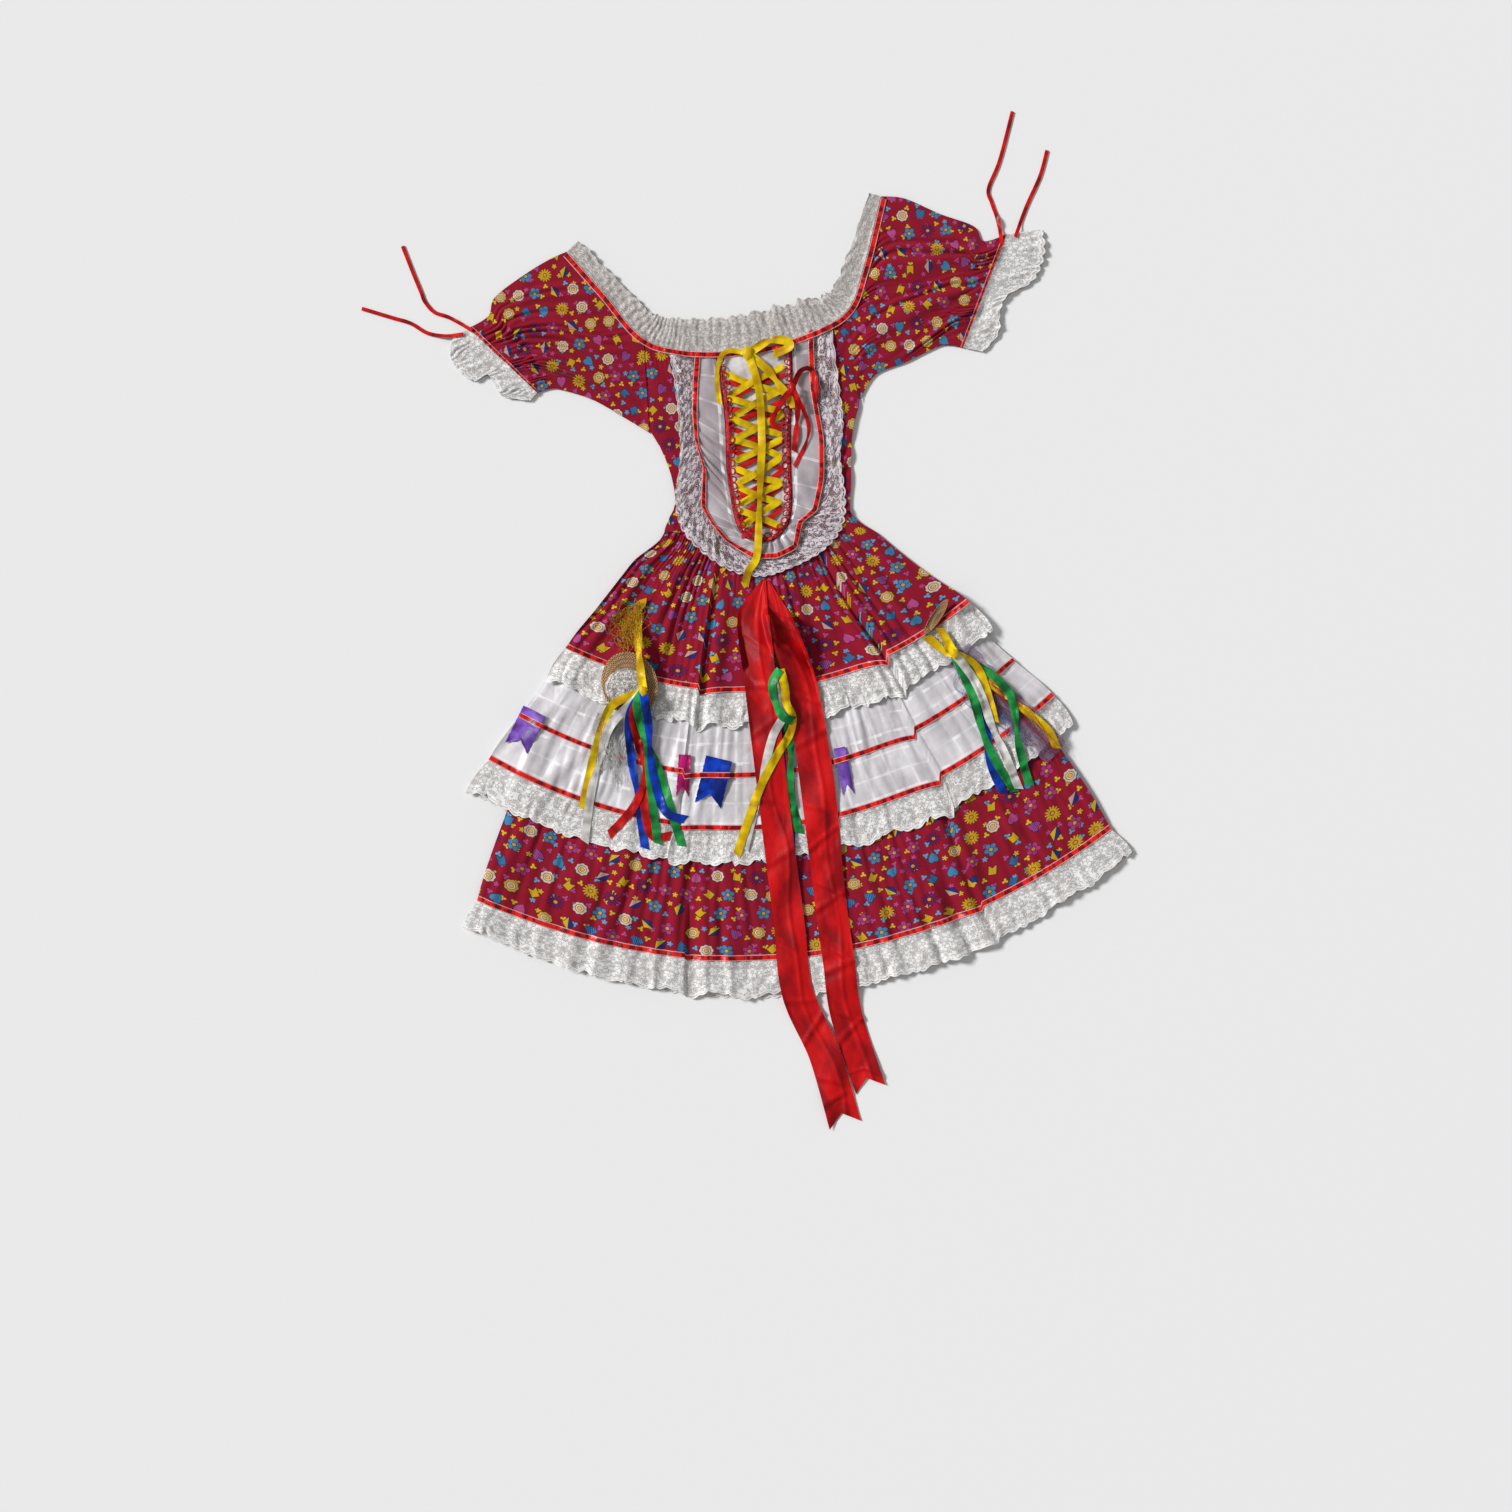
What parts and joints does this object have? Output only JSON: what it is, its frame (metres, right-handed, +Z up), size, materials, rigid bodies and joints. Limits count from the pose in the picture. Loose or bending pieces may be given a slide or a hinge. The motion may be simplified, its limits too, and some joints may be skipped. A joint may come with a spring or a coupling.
{
  "type": "quadrilha dress",
  "caption": "Girl's folk dress laid flat: puff sleeves, laced front panel, tiered skirt with lace and organza ruffles, ribbon sash and small straw hats.",
  "frame": {"origin": "middle of the dress's outline without its free sleeve ribbons, on the surface it lies on", "axes": "+X across the dress to the right as it is seen, +Y up the dress to the neck, +Z up from the surface"},
  "size_m": [0.8479, 1.1899, 0.029],
  "materials": {
    "printed_cotton": "matte woven cotton with a small print",
    "satin_trim": "glossy red satin ribbon",
    "satin_sash": "glossy red satin ribbon, broad",
    "lace": "cotton lace, matte",
    "organza": "sheer organza with satin checks",
    "white_satin": "satin",
    "yellow_ribbon": "glossy satin ribbon",
    "red_ribbon": "glossy satin ribbon",
    "purple_satin": "satin",
    "pink_satin": "satin",
    "blue_satin": "satin",
    "straw": "plaited straw braid",
    "tulle": "soft net",
    "tinsel": "metallised film strands"
  },
  "bodies": {
    "root": {"skirt_upper_back": "printed_cotton", "bodice_back": "printed_cotton", "skirt_lower_back": "printed_cotton", "skirt_lower_front": "printed_cotton", "sleeve_left": "printed_cotton", "sleeve_right": "printed_cotton", "skirt_upper_front": "printed_cotton", "bodice_front": "printed_cotton", "upper_lace_back": "lace", "neck_lace_back": "lace", "ruffle_lace_back": "lace", "hem_lace_back": "lace", "hem_lace_front": "lace", "ruffle_lace_front": "lace", "cuff_lace_left": "lace", "cuff_lace_right": "lace", "upper_lace_front": "lace", "neck_lace_front": "lace", "panel_lace": "lace", "ruffle_back": "organza", "ruffle_front": "organza", "panel_organza": "organza", "panel_satin": "white_satin", "hem_trim": "satin_trim", "ruffle_trim_high": "satin_trim", "ruffle_trim_low": "satin_trim", "upper_trim": "satin_trim", "cuff_trim_left": "satin_trim", "cuff_trim_right": "satin_trim", "panel_trim": "satin_trim", "eyelet_trim": "satin_trim", "neck_trim": "satin_trim", "sash_left": "satin_sash", "sash_right": "satin_sash", "lacing_red": "red_ribbon", "bow_red": "red_ribbon", "sleeve_ribbon_left_a": "red_ribbon", "sleeve_ribbon_left_b": "red_ribbon", "sleeve_ribbon_right_a": "red_ribbon", "sleeve_ribbon_right_b": "red_ribbon", "lacing_yellow": "yellow_ribbon", "bow_yellow": "yellow_ribbon", "ribbons_left": "yellow_ribbon", "ribbons_middle": "yellow_ribbon", "ribbons_right": "yellow_ribbon", "flag_purple_left": "purple_satin", "flag_purple_right": "purple_satin", "flag_pink": "pink_satin", "flag_blue": "blue_satin", "straw_hat_left": "straw", "straw_hat_middle": "straw", "straw_hat_right": "straw", "tulle_left": "tulle", "tulle_middle": "tulle", "tulle_right": "tulle", "tinsel_left": "tinsel"}
  },
  "joints": []
}
